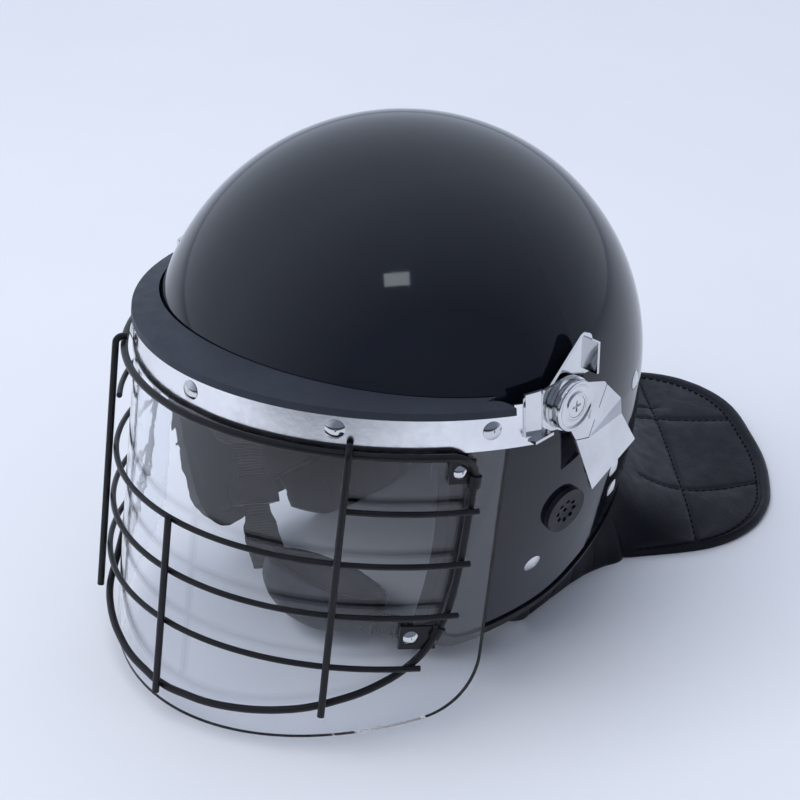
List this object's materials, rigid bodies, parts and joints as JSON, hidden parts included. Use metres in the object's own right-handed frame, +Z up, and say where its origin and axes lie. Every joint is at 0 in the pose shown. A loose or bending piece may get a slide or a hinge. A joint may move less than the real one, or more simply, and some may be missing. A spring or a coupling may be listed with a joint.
{
  "type": "riot helmet",
  "caption": "Hard shell helmet with a lift-up clear face shield, wire grille, foam lining, chin strap with cup and a quilted neck guard.",
  "frame": {"origin": "centre of the helmet's box on the table that it stands on", "axes": "the face looks along -Y, +X is the wearer's left and +Z is up"},
  "size_m": [0.268, 0.4468, 0.2633],
  "materials": {
    "shell_gloss": "gloss",
    "edge_rubber": "matte",
    "lining_foam": "matte",
    "pad_cloth": "matte",
    "vent_metal": "satin",
    "chrome_plate": "polished",
    "steel_zinc": "satin",
    "seal_rubber": "matte",
    "grille_black": "satin",
    "clip_black": "satin",
    "clear_lens": "gloss",
    "strap_web": "matte",
    "buckle_plastic": "satin",
    "spacer_black": "matte",
    "cup_leather": "satin",
    "guard_leather": "satin"
  },
  "bodies": {
    "helmet": {"outer_shell": "shell_gloss", "shell_edge_trim": "edge_rubber", "impact_liner": "lining_foam", "crown_pad": "pad_cloth", "brow_pad": "pad_cloth", "nape_pad": "pad_cloth", "side_pads": "pad_cloth", "cheek_pad_left": "pad_cloth", "cheek_pad_right": "pad_cloth", "ear_vent_left": "vent_metal", "ear_vent_right": "vent_metal", "shell_rivets": "chrome_plate", "strap_left_upper": "strap_web", "strap_left_lower": "strap_web", "strap_right": "strap_web", "buckle_socket": "buckle_plastic", "buckle_insert": "buckle_plastic", "strap_slider": "buckle_plastic", "chin_cup": "cup_leather", "neck_guard": "guard_leather", "neck_wing_left": "guard_leather", "neck_wing_right": "guard_leather", "hinge_bases": "chrome_plate", "pivot_spacers": "spacer_black", "pivot_blocks": "spacer_black", "pivot_washers": "spacer_black", "friction_discs": "chrome_plate", "pivot_caps": "chrome_plate", "pivot_screws": "chrome_plate", "pivot_nuts": "steel_zinc", "lever_roots": "chrome_plate"},
    "visor": {"visor_lens": "clear_lens", "visor_band": "chrome_plate", "brow_seal": "seal_rubber", "band_rivets": "chrome_plate", "hinge_arms": "chrome_plate", "grille_frame": "grille_black", "grille_crossbars": "grille_black", "grille_uprights": "grille_black", "grille_clips": "clip_black", "clip_rivets": "chrome_plate"},
    "lever_left": {"release_lever_left": "chrome_plate"},
    "lever_right": {"release_lever_right": "chrome_plate"},
    "prong_front": {"buckle_prong_front": "buckle_plastic"},
    "prong_back": {"buckle_prong_back": "buckle_plastic"}
  },
  "joints": [
    {"name": "visor_swing", "type": "hinge", "parent": "helmet", "child": "visor", "pos_m": [0, -0.06256, 0.164], "axis": [-1, 0, 0], "range_deg": [0, 75]},
    {"name": "lever_left_press", "type": "hinge", "parent": "helmet", "child": "lever_left", "pos_m": [0.1292, -0.04906, 0.14], "axis": [0, 0.4545, 0.8908], "range_deg": [0, 6], "stiffness_Nm_per_rad": 0.3, "springref_deg": -5.73},
    {"name": "lever_right_press", "type": "hinge", "parent": "helmet", "child": "lever_right", "pos_m": [-0.1292, -0.04906, 0.14], "axis": [0, -0.4545, -0.8908], "range_deg": [0, 6], "stiffness_Nm_per_rad": 0.3, "springref_deg": -5.73},
    {"name": "prong_front_squeeze", "type": "hinge", "parent": "helmet", "child": "prong_front", "pos_m": [0.07623, -0.09014, 0.02941], "axis": [-0.8443, 0.1804, 0.5046], "range_deg": [0, 7], "stiffness_Nm_per_rad": 0.02, "springref_deg": -5.73},
    {"name": "prong_back_squeeze", "type": "hinge", "parent": "helmet", "child": "prong_back", "pos_m": [0.07606, -0.07187, 0.02259], "axis": [0.8443, -0.1804, -0.5046], "range_deg": [0, 7], "stiffness_Nm_per_rad": 0.02, "springref_deg": -5.73}
  ],
  "couplings": [
    {"joint": "prong_back_squeeze", "follows": "prong_front_squeeze", "ratio": 1}
  ]
}
